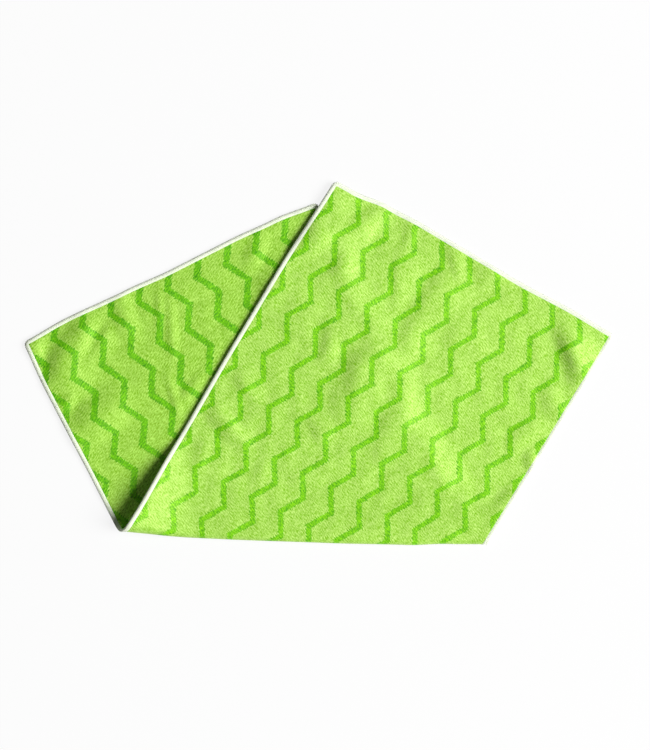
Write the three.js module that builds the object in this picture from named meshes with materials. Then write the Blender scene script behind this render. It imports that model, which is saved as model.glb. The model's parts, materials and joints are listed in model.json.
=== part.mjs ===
// A floor cloth: one oblong of knitted microfibre with a white overlocked edging all round,
// lying flat and folded over once, on the slant, so that its right part lies on its left part.
//
// Every point is first named on the cut cloth, laid out flat: "along" is measured beside the long
// edges from the left end, "across" from the front long edge, and "up" from the middle of the
// cloth's thickness. One function, place(), then folds that flat cloth and lays it on the table.
// Millimetres and degrees, +Z up, with the table at z = 0.
import * as THREE from "three";

// The cut cloth and its edging
const CLOTH_LENGTH = 600;
const CLOTH_WIDTH = 302;
const CLOTH_THICK = 1.6;
const EDGING_WIDTH = 4.8;
const EDGING_THICK = 2.4;
const EDGING_GAP = 0.3;
const CORNER_RADIUS = 5;

// The slanting fold
const FOLD_START = 203; // along the front edge, from the left end to the fold
const FOLD_SLANT = 60.9; // between the fold and the long edges
const FOLD_HEADING = -2.15; // of the fold on the table, from +X
const FOLD_POINT = { x: -187.5, y: -161.4 }; // where the front edge meets the fold, on the table
const SWING_REACH = 70; // how far from the fold its swing out of the straight is felt
const FOLD_SWING = [
  { beside: 0, is: 1.4 },
  { beside: 24, is: 2 },
  { beside: 45, is: 2.4 },
  { beside: 120, is: 2.8 },
  { beside: 200, is: 2.5 },
  { beside: 270, is: 1.5 },
  { beside: 310, is: -1 },
  { beside: 346, is: -2 },
];

// The fold isn't pressed: it is a loop, fuller at its left end. Both tables are given beside the
// fold from that end: the loop's radius, and how far past it the upper layer has come down.
const LOOP_RADIUS = [
  { beside: 0, is: 9.6 },
  { beside: 72, is: 5 },
  { beside: 346, is: 4.5 },
];
const LOOP_RUN_OUT = [
  { beside: 0, is: 135 },
  { beside: 30, is: 120 },
  { beside: 80, is: 75 },
  { beside: 200, is: 50 },
  { beside: 346, is: 56 },
];

// How the upper layer lies on the lower one
const LAYER_SPACE = 0.6;
const BRIDGE_RISE = 0.7; // extra height where it rides over the lower layer's edging
const BRIDGE_FLAT = 12; // how far in from the edging that height holds
const BRIDGE_END = 45; // and how far in it has faded out
const LIFT_END = 16; // from an edge, where the lift over the thicker edging has faded out
const STEP_START = 2; // outside the lower layer, where the upper one starts down to the table
// and how far outside it has reached the table, along the lower layer
const STEP_END = [
  { along: 0, is: 84 },
  { along: 40, is: 60 },
  { along: 62, is: 44 },
  { along: 84, is: 42 },
  { along: 112, is: 44 },
  { along: 170, is: 62 },
  { along: 192, is: 54 },
  { along: 226, is: 36 },
  { along: 256, is: 34 },
  { along: 300, is: 36 },
  { along: 340, is: 50 },
];

// How far each side of the cloth has been pulled from a straight line: its two ends along the
// cloth, its front and back edges across it
const END_REACH = 150;
const LEFT_END_PULL = [
  { across: 0, is: 0 },
  { across: 45, is: -2 },
  { across: 110, is: 0 },
  { across: 155, is: 2 },
  { across: 220, is: 2 },
  { across: 260, is: 3.6 },
  { across: 302, is: 7.5 },
];
const RIGHT_END_PULL = [
  { across: 0, is: -6 },
  { across: 19, is: -5.4 },
  { across: 57, is: -0.2 },
  { across: 94, is: 1.8 },
  { across: 189, is: 2.6 },
  { across: 264, is: 5.9 },
  { across: 302, is: 6 },
];
const SIDE_REACH = 90;
const FRONT_EDGE_PULL = [
  { along: 0, is: 0.6 },
  { along: 45, is: -1.1 },
  { along: 190, is: 0.4 },
  { along: 240, is: 1.2 },
  { along: 300, is: 0 },
  { along: 420, is: -2 },
  { along: 500, is: -2.3 },
  { along: 600, is: 0 },
];
const BACK_EDGE_PULL = [
  { along: 0, is: 6 },
  { along: 25, is: 5 },
  { along: 80, is: -7 },
  { along: 180, is: -11 },
  { along: 230, is: -19 },
  { along: 265, is: -13 },
  { along: 300, is: -13 },
  { along: 370, is: 0 },
];

// Soft ridges left in each layer: the middle of the crest on the table, its heading, its half
// length, how far it spreads to the left and to the right of that heading, and its height
const LOWER_RIDGES = [
  { x: -241, y: -4, heading: 75, long: 40, left: 20, right: 36, high: 3.7 },
  { x: -184, y: 44, heading: 106, long: 34, left: 13, right: 16, high: 1.9 },
  { x: -210, y: -54, heading: 34, long: 52, left: 26, right: 24, high: 3.5 },
  { x: -60, y: 103, heading: 70, long: 30, left: 13, right: 13, high: 1.7 },
  { x: -42, y: 76, heading: 60, long: 42, left: 22, right: 60, high: 2.2 },
];
const UPPER_RIDGES = [
  { x: -159, y: -124, heading: 62, long: 62, left: 24, right: 25, high: 2.5 },
  { x: -2, y: 120, heading: 40, long: 38, left: 16, right: 16, high: 2.2 },
  { x: 20, y: 84, heading: 50, long: 28, left: 15, right: 34, high: 1.8 },
  { x: 51, y: 134, heading: 34, long: 24, left: 16, right: 17, high: 2.4 },
  { x: 38, y: -18, heading: 64, long: 66, left: 24, right: 34, high: 2.7 },
  { x: 70, y: -56, heading: 80, long: 30, left: 17, right: 30, high: 1.3 },
  { x: 110, y: 66, heading: 60, long: 38, left: 16, right: 38, high: 2.2 },
  { x: 89, y: 30, heading: 68, long: 27, left: 16, right: 32, high: 2 },
  { x: -85, y: -59, heading: -50, long: 35, left: 11, right: 15, high: 2.4 },
  { x: 243, y: 4, heading: 108, long: 40, left: 17, right: 27, high: 3.9 },
];

// How finely the solids are cut up
const CELLS_LOWER = 22;
const CELLS_LOOP = 8;
const CELLS_UPPER = 26;
const CELLS_WIDEN = 1.15; // how quickly the cells of the upper layer lengthen away from the fold
const CELLS_ACROSS = 24;
const CORNER_STEPS = 3;
const EDGING_SIDES = 8;
const SLOPE_STEP = 0.4; // between the two places that give the cloth's slope

const radians = THREE.MathUtils.degToRad;
const lerp = THREE.MathUtils.lerp;
const smoothstep = THREE.MathUtils.smoothstep;

const cosSlant = Math.cos(radians(FOLD_SLANT));
const sinSlant = Math.sin(radians(FOLD_SLANT));
const alongFold = new THREE.Vector2(1, 0).rotateAround(new THREE.Vector2(), radians(FOLD_HEADING));
const awayFromFold = new THREE.Vector2(-alongFold.y, alongFold.x);

// A smooth value from a short table, level at each of its rows.
function fromTable(rows, key, x) {
  const next = rows.findIndex((row) => row[key] >= x);
  if (next === 0) return rows[0].is;
  if (next < 0) return rows[rows.length - 1].is;
  const [a, b] = [rows[next - 1], rows[next]];
  return lerp(a.is, b.is, smoothstep(x, a[key], b[key]));
}

// 1 at zero, falling smoothly to nothing at the reach and beyond.
const fade = (distance, reach) => 1 - smoothstep(distance, 0, reach);

// The place on the flat cloth after its four sides are pulled about.
function pulled(along, across) {
  const left = fromTable(LEFT_END_PULL, "across", across) * fade(along, END_REACH);
  const right = fromTable(RIGHT_END_PULL, "across", across) * fade(CLOTH_LENGTH - along, END_REACH);
  const front = fromTable(FRONT_EDGE_PULL, "along", along) * fade(across, SIDE_REACH);
  const back = fromTable(BACK_EDGE_PULL, "along", along) * fade(CLOTH_WIDTH - across, SIDE_REACH);
  return { along: along + left + right, across: across + front + back };
}

// Distance from the fold (negative on the lower layer), and distance along it from its left end.
function foldCoordinates(along, across) {
  return {
    past: (along - FOLD_START) * sinSlant - across * cosSlant,
    beside: (along - FOLD_START) * cosSlant + across * sinSlant,
  };
}

// Height of a set of soft ridges over a point of the table.
function ridgeHeight(ridges, x, y) {
  return ridges.reduce((sum, ridge) => {
    const turn = radians(ridge.heading);
    const [dx, dy] = [x - ridge.x, y - ridge.y];
    const onCrest = (dx * Math.cos(turn) + dy * Math.sin(turn)) / ridge.long;
    const sideways = dy * Math.cos(turn) - dx * Math.sin(turn);
    const offCrest = sideways / (sideways > 0 ? ridge.left : ridge.right);
    if (Math.abs(onCrest) >= 1 || Math.abs(offCrest) >= 1) return sum;
    return sum + ridge.high * (1 - onCrest ** 2) ** 2 * (1 - offCrest ** 2) ** 2;
  }, 0);
}

// The cloth is lifted beside its edges, because the edging is thicker than the cloth.
function edgeLift(along, across) {
  const ends = [along, CLOTH_LENGTH - along, across, CLOTH_WIDTH - across];
  const flat = ends.reduce((share, end) => share * smoothstep(end, EDGING_WIDTH, LIFT_END), 1);
  return ((EDGING_THICK - CLOTH_THICK) / 2) * (1 - flat);
}

// Where a point of the table comes on the lower layer: its along and across there.
function underneath(x, y) {
  const [dx, dy] = [x - FOLD_POINT.x, y - FOLD_POINT.y];
  const beside = dx * alongFold.x + dy * alongFold.y;
  const past = -(dx * awayFromFold.x + dy * awayFromFold.y);
  return {
    along: FOLD_START + past * sinSlant + beside * cosSlant,
    across: beside * sinSlant - past * cosSlant,
  };
}

const lowerHeight = (x, y, along, across) =>
  CLOTH_THICK / 2 + edgeLift(along, across) + ridgeHeight(LOWER_RIDGES, x, y);

// The upper layer's height: on the table outside the lower layer, and over that layer elsewhere.
function upperHeight(x, y, along, across) {
  const below = underneath(x, y);
  const leftEnd = fromTable(LEFT_END_PULL, "across", below.across);
  const flatAlong = below.along - leftEnd * fade(below.along, END_REACH);
  const backEdge = CLOTH_WIDTH + fromTable(BACK_EDGE_PULL, "along", flatAlong);
  const inside = [below.along - leftEnd, backEdge - below.across];
  const stepEnd = fromTable(STEP_END, "along", below.along);
  const covered = inside.reduce((share, d) => share * smoothstep(d, -stepEnd, -STEP_START), 1);
  const clear = inside.reduce((share, d) => share * smoothstep(d, BRIDGE_FLAT, BRIDGE_END), 1);
  const onLayer = lowerHeight(x, y, below.along, below.across) + CLOTH_THICK + LAYER_SPACE;
  const supported = onLayer + BRIDGE_RISE * (1 - clear);
  const resting = lerp(CLOTH_THICK / 2, supported, covered);
  return resting + edgeLift(along, across) + ridgeHeight(UPPER_RIDGES, x, y);
}

// The middle of the cloth's thickness, folded and laid on the table.
function middle(flatAlong, flatAcross) {
  const { along, across } = pulled(flatAlong, flatAcross);
  const { past, beside } = foldCoordinates(along, across);
  const radius = fromTable(LOOP_RADIUS, "beside", beside);
  const runOut = fromTable(LOOP_RUN_OUT, "beside", beside);
  const quarter = (Math.PI * radius) / 2;
  const swing = fromTable(FOLD_SWING, "beside", beside);
  const inLoop = Math.abs(past) < quarter;
  const inward = inLoop ? quarter - radius * Math.cos(past / radius) : Math.abs(past);
  const offset = inward - swing * fade(inward, SWING_REACH);
  const x = FOLD_POINT.x + beside * alongFold.x + offset * awayFromFold.x;
  const y = FOLD_POINT.y + beside * alongFold.y + offset * awayFromFold.y;
  const lower = lowerHeight(x, y, flatAlong, flatAcross);
  if (past <= -quarter) return new THREE.Vector3(x, y, lower);
  if (inLoop) return new THREE.Vector3(x, y, lower + radius * (1 + Math.sin(past / radius)));
  const upper = upperHeight(x, y, flatAlong, flatAcross);
  return new THREE.Vector3(x, y, lerp(upper, lower + 2 * radius, fade(past - quarter, runOut)));
}

// A point at a height over the middle of the cloth, measured square to it.
function place(along, across, up) {
  const d = SLOPE_STEP;
  const runAlong = middle(along + d, across).sub(middle(along - d, across));
  const runAcross = middle(along, across + d).sub(middle(along, across - d));
  return middle(along, across).addScaledVector(runAlong.cross(runAcross).normalize(), up);
}

function solid(name, positions, faces, material) {
  const geometry = new THREE.BufferGeometry();
  const numbers = positions.flatMap((point) => point.toArray());
  geometry.setAttribute("position", new THREE.Float32BufferAttribute(numbers, 3));
  geometry.setIndex(faces.flat());
  geometry.computeVertexNormals();
  const mesh = new THREE.Mesh(geometry, material);
  mesh.name = name;
  return mesh;
}

// Places along the cloth where it is cut into cells, for one line across it: even on the lower
// layer, close together round the loop, and widening out over the upper layer.
const inset = EDGING_WIDTH + EDGING_GAP;
const CELLS_ALONG = CELLS_LOWER + CELLS_LOOP + CELLS_UPPER;
function alongAt(step, across) {
  const foldHere = FOLD_START + (across * cosSlant) / sinSlant;
  const radius = fromTable(LOOP_RADIUS, "beside", across / sinSlant);
  const halfLoop = ((Math.PI / 2) * radius) / sinSlant;
  if (step <= CELLS_LOWER) return lerp(inset, foldHere - halfLoop, step / CELLS_LOWER);
  if (step <= CELLS_LOWER + CELLS_LOOP) {
    return foldHere + halfLoop * ((2 * (step - CELLS_LOWER)) / CELLS_LOOP - 1);
  }
  const share = (step - CELLS_LOWER - CELLS_LOOP) / CELLS_UPPER;
  return lerp(foldHere + halfLoop, CLOTH_LENGTH - inset, share ** CELLS_WIDEN);
}
const acrossAt = (step) => lerp(inset, CLOTH_WIDTH - inset, step / CELLS_ACROSS);

function clothPanel(material) {
  const columns = CELLS_ACROSS + 1;
  const layer = (CELLS_ALONG + 1) * columns;
  const positions = [];
  for (const side of [1, -1]) {
    for (let i = 0; i <= CELLS_ALONG; i++) {
      for (let j = 0; j < columns; j++) {
        positions.push(place(alongAt(i, acrossAt(j)), acrossAt(j), (side * CLOTH_THICK) / 2));
      }
    }
  }
  const faces = [];
  const quad = (a, b, c, d) => faces.push([a, b, c], [a, c, d]);
  for (let i = 0; i < CELLS_ALONG; i++) {
    for (let j = 0; j < CELLS_ACROSS; j++) {
      const [a, b] = [i * columns + j, (i + 1) * columns + j];
      quad(a, b, b + 1, a + 1);
      quad(layer + a, layer + a + 1, layer + b + 1, layer + b);
    }
  }
  // The cut edge, all the way round
  const rim = [];
  for (let i = 0; i < CELLS_ALONG; i++) rim.push(i * columns);
  for (let j = 0; j < CELLS_ACROSS; j++) rim.push(CELLS_ALONG * columns + j);
  for (let i = CELLS_ALONG; i > 0; i--) rim.push(i * columns + CELLS_ACROSS);
  for (let j = CELLS_ACROSS; j > 0; j--) rim.push(j);
  rim.forEach((a, k) => {
    const b = rim[(k + 1) % rim.length];
    quad(a, layer + a, layer + b, b);
  });
  return solid("cloth_panel", positions, faces, material);
}

// The edging's middle line on the flat cloth: each station has its place and the direction outwards.
function edgingStations() {
  const near = EDGING_WIDTH / 2;
  const [farAlong, farAcross] = [CLOTH_LENGTH - near, CLOTH_WIDTH - near];
  const stations = [];
  const corner = (along, across, from) => {
    for (let k = 0; k <= CORNER_STEPS; k++) {
      const turn = radians(from + (90 * k) / CORNER_STEPS);
      const out = [Math.cos(turn), Math.sin(turn)];
      const reach = CORNER_RADIUS - near;
      stations.push({ along: along + out[0] * reach, across: across + out[1] * reach, out });
    }
  };
  const [lastAlong, lastAcross] = [CLOTH_LENGTH - CORNER_RADIUS, CLOTH_WIDTH - CORNER_RADIUS];
  corner(CORNER_RADIUS, CORNER_RADIUS, 180);
  for (let i = 1; i < CELLS_ALONG; i++) {
    stations.push({ along: alongAt(i, inset), across: near, out: [0, -1] });
  }
  corner(lastAlong, CORNER_RADIUS, 270);
  for (let j = 1; j < CELLS_ACROSS; j++) {
    stations.push({ along: farAlong, across: acrossAt(j), out: [1, 0] });
  }
  corner(lastAlong, lastAcross, 0);
  for (let i = CELLS_ALONG - 1; i > 0; i--) {
    stations.push({ along: alongAt(i, CLOTH_WIDTH - inset), across: farAcross, out: [0, 1] });
  }
  corner(CORNER_RADIUS, lastAcross, 90);
  for (let j = CELLS_ACROSS - 1; j > 0; j--) {
    stations.push({ along: near, across: acrossAt(j), out: [-1, 0] });
  }
  return stations;
}

function edging(material) {
  const stations = edgingStations();
  const positions = [];
  for (const { along, across, out } of stations) {
    for (let k = 0; k < EDGING_SIDES; k++) {
      const turn = (Math.PI * (2 * k + 1)) / EDGING_SIDES;
      const stretch = 1 / Math.cos(Math.PI / EDGING_SIDES);
      const outward = (EDGING_WIDTH / 2) * stretch * Math.cos(turn);
      const up = (EDGING_THICK / 2) * stretch * Math.sin(turn);
      positions.push(place(along + out[0] * outward, across + out[1] * outward, up));
    }
  }
  const faces = [];
  stations.forEach((_, s) => {
    const here = s * EDGING_SIDES;
    const next = ((s + 1) % stations.length) * EDGING_SIDES;
    for (let k = 0; k < EDGING_SIDES; k++) {
      const m = (k + 1) % EDGING_SIDES;
      faces.push([here + k, next + k, next + m], [here + k, next + m, here + m]);
    }
  });
  return solid("edging", positions, faces, material);
}

const microfibre = new THREE.MeshStandardMaterial({ color: "#b1e45c", roughness: 0.95, metalness: 0 });
const whiteYarn = new THREE.MeshStandardMaterial({ color: "#f1f4ea", roughness: 0.85, metalness: 0 });

const floorCloth = new THREE.Group();
floorCloth.add(clothPanel(microfibre), edging(whiteYarn));

export default floorCloth;
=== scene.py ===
# %% [markdown]
# # A floor cloth, folded over on the slant
#
# The real thing is one oblong of knitted microfibre, 60 x 30 cm, with darker zigzag lines knitted
# in and a white overlocked edging sewn round all four sides. It lies flat and has been folded
# over once, not quite square to its sides, so the right part lies face down on the left part.
#
# The imported model holds the true sizes and the place of every layer. Here the same cloth is made
# fine enough to look at: a thin sheet with its creases, the stitches of its edging, and its
# yarns.

# %% Load the frame
import json
import math

import bpy
import numpy as np
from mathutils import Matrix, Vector

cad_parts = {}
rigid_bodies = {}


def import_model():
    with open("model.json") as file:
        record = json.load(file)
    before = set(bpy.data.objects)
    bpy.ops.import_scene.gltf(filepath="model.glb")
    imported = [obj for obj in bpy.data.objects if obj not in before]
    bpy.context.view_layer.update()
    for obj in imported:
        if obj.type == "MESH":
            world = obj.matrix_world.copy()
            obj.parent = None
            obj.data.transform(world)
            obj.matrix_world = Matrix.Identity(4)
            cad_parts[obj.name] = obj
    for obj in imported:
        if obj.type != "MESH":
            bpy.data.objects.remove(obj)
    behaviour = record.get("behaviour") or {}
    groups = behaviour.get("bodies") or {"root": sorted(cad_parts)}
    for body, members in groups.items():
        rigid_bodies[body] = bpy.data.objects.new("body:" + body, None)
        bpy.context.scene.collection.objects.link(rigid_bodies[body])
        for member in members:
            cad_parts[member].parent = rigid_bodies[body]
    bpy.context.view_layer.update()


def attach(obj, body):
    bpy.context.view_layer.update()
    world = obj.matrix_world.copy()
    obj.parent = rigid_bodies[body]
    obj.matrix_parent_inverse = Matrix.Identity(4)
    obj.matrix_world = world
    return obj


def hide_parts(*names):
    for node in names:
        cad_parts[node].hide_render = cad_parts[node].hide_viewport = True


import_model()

# %% [markdown]
# ## Sizes of the cut cloth
#
# Everything on the cloth is first named on the flat, cut piece, as a sewer would mark it out:
# *along* the long side from the left end, and *across* from the front long edge, in millimetres.
# One map then folds that flat piece and lays it down. Because the edging, the stitches and the
# knitted pattern all go through the same map, they stay on the cloth whatever its folds do.

# %% Name the sizes of the cut cloth and where it is folded
MM = 0.001  # the maps below work in millimetres, and the meshes are in metres

CLOTH_LENGTH = 600.0
CLOTH_WIDTH = 302.0
CLOTH_THICK = 1.6
EDGING_WIDTH = 4.8
EDGING_THICK = 2.4
CORNER_RADIUS = 5.0

FOLD_START = 203.0  # along the front edge, from the left end to the fold
FOLD_SLANT = math.radians(60.9)  # between the fold and the long edges
FOLD_HEADING = math.radians(-2.15)  # of the fold on the table, from +X
FOLD_POINT = (-187.5, -161.4)  # where the front edge meets the fold, on the table

cos_slant, sin_slant = math.cos(FOLD_SLANT), math.sin(FOLD_SLANT)
along_fold = (math.cos(FOLD_HEADING), math.sin(FOLD_HEADING))
away_from_fold = (-along_fold[1], along_fold[0])
fold_length = CLOTH_WIDTH / sin_slant
print("length of the fold: %.0f mm" % fold_length)

# %% [markdown]
# ## The soft ridges and troughs
#
# A cloth that has been picked up and laid down keeps soft ridges. Each one here is given as the
# middle of its crest on the table, which way the crest runs, and how long, wide and high it is. A
# low bell over an oval is enough, because several that lie close together read as one crease. The
# main ridges are in the imported solids too. The finer creases are only here, and they are low.

# %% Place the main ridges
# x, y, heading in degrees, half length, half width to the left and to the right, height
LOWER_RIDGES = [
    (-241, -4, 75, 40, 20, 36, 3.7),
    (-184, 44, 106, 34, 13, 16, 1.9),
    (-210, -54, 34, 52, 26, 24, 3.5),
    (-60, 103, 70, 30, 13, 13, 1.7),
    (-42, 76, 60, 42, 22, 60, 2.2),
]
UPPER_RIDGES = [
    (-159, -124, 62, 62, 24, 25, 2.5),
    (-2, 120, 40, 38, 16, 16, 2.2),
    (20, 84, 50, 28, 15, 34, 1.8),
    (51, 134, 34, 24, 16, 17, 2.4),
    (38, -18, 64, 66, 24, 34, 2.7),
    (70, -56, 80, 30, 17, 30, 1.3),
    (110, 66, 60, 38, 16, 38, 2.2),
    (89, 30, 68, 27, 16, 32, 2.0),
    (-85, -59, -50, 35, 11, 15, 2.4),
    (243, 4, 108, 40, 17, 27, 3.9),
]
print("main ridges, on the lower and the upper layer:", len(LOWER_RIDGES), len(UPPER_RIDGES))

# %% Place the finer creases
# the same columns
LOWER_CREASES = [
    (-223, 29, 61, 30, 18, 13, 1.9),
    (-268, 15, 80, 16, 12, 12, 1.5),
    (-203, 21, 60, 32, 8, 18, 1.4),
    (-235, -36, 60, 14, 8, 8, 0.8),
    (-150, 50, 90, 34, 6, 6, 0.8),
    (-139, 36, 93, 44, 7, 8, 1.1),
    (-137, -30, 106, 28, 6, 7, 1.1),
    (-120, -24, 52, 30, 8, 8, 1.0),
    (-222, 31, 25, 34, 13, 26, 1.6),
    (-125, 77, 25, 80, 12, 40, 0.9),
    (-243, -42, 62, 16, 10, 14, 0.6),
]
UPPER_CREASES = [
    (10, 16, 74, 28, 11, 14, 1.3),
    (-16, 62, 60, 24, 14, 14, 0.8),
    (105, -95, 122, 30, 12, 12, 0.5),
    (76, 84, 86, 40, 8, 34, 0.8),
    (86, 121, 82, 22, 8, 10, 0.8),
    (130, 93, 108, 26, 8, 14, 1.2),
    (163, 84, 100, 16, 20, 16, 1.2),
    (222, -36, 106, 26, 14, 13, 1.4),
    (196, -66, 40, 30, 15, 14, 1.3),
    (201, -92, 110, 18, 10, 8, 1.3),
    (172, -140, 42, 42, 17, 20, 2.3),
    (140, -150, 60, 20, 14, 20, 0.9),
    (-68, -24, -56, 26, 8, 8, 0.8),
    (-68, -14, 95, 18, 12, 14, 0.8),
    (-53, -100, 90, 16, 10, 10, 0.6),
    (-110, -88, 70, 20, 9, 9, 0.7),
    (-1, -61, -64, 26, 18, 9, 1.2),
    (58, -86, 80, 18, 8, 12, 0.6),
    (236, 24, 118, 20, 14, 14, 1.2),
    (241, 6, 116, 24, 9, 10, 0.9),
    (-12, 44, 70, 30, 16, 14, 0.7),
    (62, 86, 86, 32, 26, 44, 1.5),
    (-114, -98, 62, 40, 20, 34, 1.3),
    (-156, -127, 62, 34, 16, 20, 1.0),
    (132, 24, 58, 44, 24, 40, 1.1),
    (73, -28, 75, 30, 14, 40, 0.8),
    (33, 40, 66, 20, 14, 14, 0.6),
    (-4, 100, 55, 18, 12, 16, 0.7),
    (4, 44, 62, 34, 22, 40, 0.8),
    (66, 72, 80, 24, 16, 50, 0.9),
    (30, 130, 50, 20, 17, 24, 0.8),
    (108, -24, 75, 34, 16, 40, 0.9),
]
print("finer creases, on the lower and the upper layer:", len(LOWER_CREASES), len(UPPER_CREASES))

# %% [markdown]
# ## From a table to a smooth line
#
# Cloth has no sudden steps, so every change of height or place is eased at both ends. Two small
# functions do that for whole arrays of places at once, and a third reads the short tables.

# %% Ease every change
def smoothstep(x, start, end):
    t = np.clip((x - start) / (end - start), 0, 1)
    return t * t * (3 - 2 * t)


def fade(distance, reach):
    return 1 - smoothstep(distance, 0, reach)


def from_table(table, x):
    """A smooth value from a short table, level at each of its rows."""
    at, value = np.array(table["at"], float), np.array(table["is"], float)
    upper = np.clip(np.searchsorted(at, x), 1, len(at) - 1)
    below, above = value[upper - 1], value[upper]
    return below + (above - below) * smoothstep(x, at[upper - 1], at[upper])


print("a quarter of the way along an eased step: %.2f of it" % smoothstep(0.25, 0, 1))

# %% [markdown]
# ## Sides that are no longer straight
#
# The cloth was cut square, but washing and wringing have pulled it, so each side bows in and out
# by some millimetres. A lattice could bend the finished mesh. Here the pull is part of the map,
# so the edging stays on the edge and the knit is drawn along with it.

# %% Pull the sides about
END_REACH = 150.0  # how far into the cloth the pull on an end is felt
SIDE_REACH = 90.0  # and on a long side

# How far each side is pulled, at places along it
LEFT_END = {"at": (0, 45, 110, 155, 220, 260, 302), "is": (0, -2, 0, 2, 2, 3.6, 7.5)}
RIGHT_END = {"at": (0, 19, 57, 94, 189, 264, 302), "is": (-6, -5.4, -0.2, 1.8, 2.6, 5.9, 6)}
FRONT_EDGE = {
    "at": (0, 45, 190, 240, 300, 420, 500, 600),
    "is": (0.6, -1.1, 0.4, 1.2, 0, -2, -2.3, 0),
}
BACK_EDGE = {
    "at": (0, 25, 80, 180, 230, 265, 300, 370),
    "is": (6, 5, -7, -11, -19, -13, -13, 0),
}


def pulled(along, across):
    """The place on the flat cloth after its four sides are pulled about."""
    left = from_table(LEFT_END, across) * fade(along, END_REACH)
    right = from_table(RIGHT_END, across) * fade(CLOTH_LENGTH - along, END_REACH)
    front = from_table(FRONT_EDGE, along) * fade(across, SIDE_REACH)
    back = from_table(BACK_EDGE, along) * fade(CLOTH_WIDTH - across, SIDE_REACH)
    return along + left + right, across + front + back


pulled_corner = pulled(np.array([0.0]), np.array([CLOTH_WIDTH]))[1][0] - CLOTH_WIDTH
print("the back left corner is pulled %.0f mm across the cloth" % pulled_corner)


# %% Raise the ridges
def ridge_height(ridges, x, y):
    """How high a set of ridges lifts the cloth at a place on the table."""
    height = np.zeros_like(x)
    for ridge_x, ridge_y, heading, long, left, right, high in ridges:
        turn = math.radians(heading)
        dx, dy = x - ridge_x, y - ridge_y
        on_crest = np.clip((dx * math.cos(turn) + dy * math.sin(turn)) / long, -1, 1)
        off_crest = dy * math.cos(turn) - dx * math.sin(turn)
        off_crest = np.clip(off_crest / np.where(off_crest > 0, left, right), -1, 1)
        height += high * (1 - on_crest**2) ** 2 * (1 - off_crest**2) ** 2
    return height


print("the highest ridge: %.1f mm" % max(ridge[-1] for ridge in LOWER_RIDGES + UPPER_RIDGES))

# %% [markdown]
# ## Gentle waves
#
# Even between its ridges a knitted cloth is never level. It could be left to settle in a cloth
# simulation, but a sum of long, low waves is quicker, and one seed makes it the same each time.

# %% Draw the gentle waves
WAVE_COUNT = 24
WAVE_SEED = 7
WAVE_LENGTHS = (13.0, 34.0)
WAVE_HEIGHT = 0.11  # root mean square
WAVE_FLOOR = 0.3  # lifts the waves, so that their troughs stay off the table


def waves_in_cloth(count, seed):
    """Random gentle waves: how fast each one runs along and across, its start and its height."""
    draw = np.random.default_rng(seed)
    length = draw.uniform(*WAVE_LENGTHS, count)
    heading = draw.uniform(0, 2 * math.pi, count)
    fast = 2 * math.pi / length
    high = length / length.mean()
    high *= WAVE_HEIGHT * math.sqrt(2 / count) / math.sqrt((high**2).mean())
    return fast * np.cos(heading), fast * np.sin(heading), draw.uniform(0, 2 * math.pi, count), high


GENTLE_WAVES = waves_in_cloth(WAVE_COUNT, WAVE_SEED)


def unevenness(along, across):
    """The knit never lies quite level: soft waves a few tenths of a millimetre high."""
    height = np.full_like(along, WAVE_FLOOR)
    for fast_along, fast_across, start, high in zip(*GENTLE_WAVES):
        height += high * np.cos(fast_along * along + fast_across * across + start)
    return height


print("gentle waves: %d of them, %.0f to %.0f mm long" % (WAVE_COUNT, *WAVE_LENGTHS))

# %% [markdown]
# ## How high each layer lies
#
# The lower layer lies on the table. The upper layer lies on the lower one, rides over that
# layer's edging, and steps down to the table beyond it.

# %% Work out the height of each layer
LAYER_SPACE = 0.6  # between the two layers
BRIDGE_RISE = 0.7  # the upper layer is held up this much more beside the lower layer's edges
BRIDGE_SPAN = (12.0, 45.0)  # and comes down between these distances inside them
STEP_START = 2.0  # it starts to step down to the table this far outside them
LIFT_END = 16.0  # beside its own edging, the cloth lies level again this far in

# How far outside the lower layer's edge the step reaches the table, at places along that layer
STEP_END = {
    "at": (0, 40, 62, 84, 112, 170, 192, 226, 256, 300, 340),
    "is": (84, 60, 44, 42, 44, 62, 54, 36, 34, 36, 50),
}


def edge_lift(along, across):
    """The cloth is lifted beside its edges, because the edging is thicker than the cloth."""
    flat = np.ones_like(along)
    for end in (along, CLOTH_LENGTH - along, across, CLOTH_WIDTH - across):
        flat = flat * smoothstep(end, EDGING_WIDTH, LIFT_END)
    return (EDGING_THICK - CLOTH_THICK) / 2 * (1 - flat)


def lower_height(x, y, along, across):
    """How high the middle of the lower layer lies, on the table."""
    rising = ridge_height(LOWER_RIDGES + LOWER_CREASES, x, y) + unevenness(along, across)
    return CLOTH_THICK / 2 + edge_lift(along, across) + rising


def upper_height(x, y, along, across):
    """And the upper layer: on the table outside the lower one, and over it elsewhere."""
    dx, dy = x - FOLD_POINT[0], y - FOLD_POINT[1]
    beside = dx * along_fold[0] + dy * along_fold[1]
    past = -(dx * away_from_fold[0] + dy * away_from_fold[1])
    below_along = FOLD_START + past * sin_slant + beside * cos_slant
    below_across = beside * sin_slant - past * cos_slant
    step_end = from_table(STEP_END, below_along)
    left_end = from_table(LEFT_END, below_across)
    unpulled_along = below_along - left_end * fade(below_along, END_REACH)
    back_edge = CLOTH_WIDTH + from_table(BACK_EDGE, unpulled_along)
    covered, clear = 1.0, 1.0
    for inside in (below_along - left_end, back_edge - below_across):
        covered = covered * smoothstep(inside, -step_end, -STEP_START)
        clear = clear * smoothstep(inside, *BRIDGE_SPAN)
    on_layer = lower_height(x, y, below_along, below_across) + CLOTH_THICK + LAYER_SPACE
    supported = on_layer + BRIDGE_RISE * (1 - clear)
    resting = CLOTH_THICK / 2 + (supported - CLOTH_THICK / 2) * covered
    rising = ridge_height(UPPER_RIDGES + UPPER_CREASES, x, y) + unevenness(along, across)
    return resting + edge_lift(along, across) + rising


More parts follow.
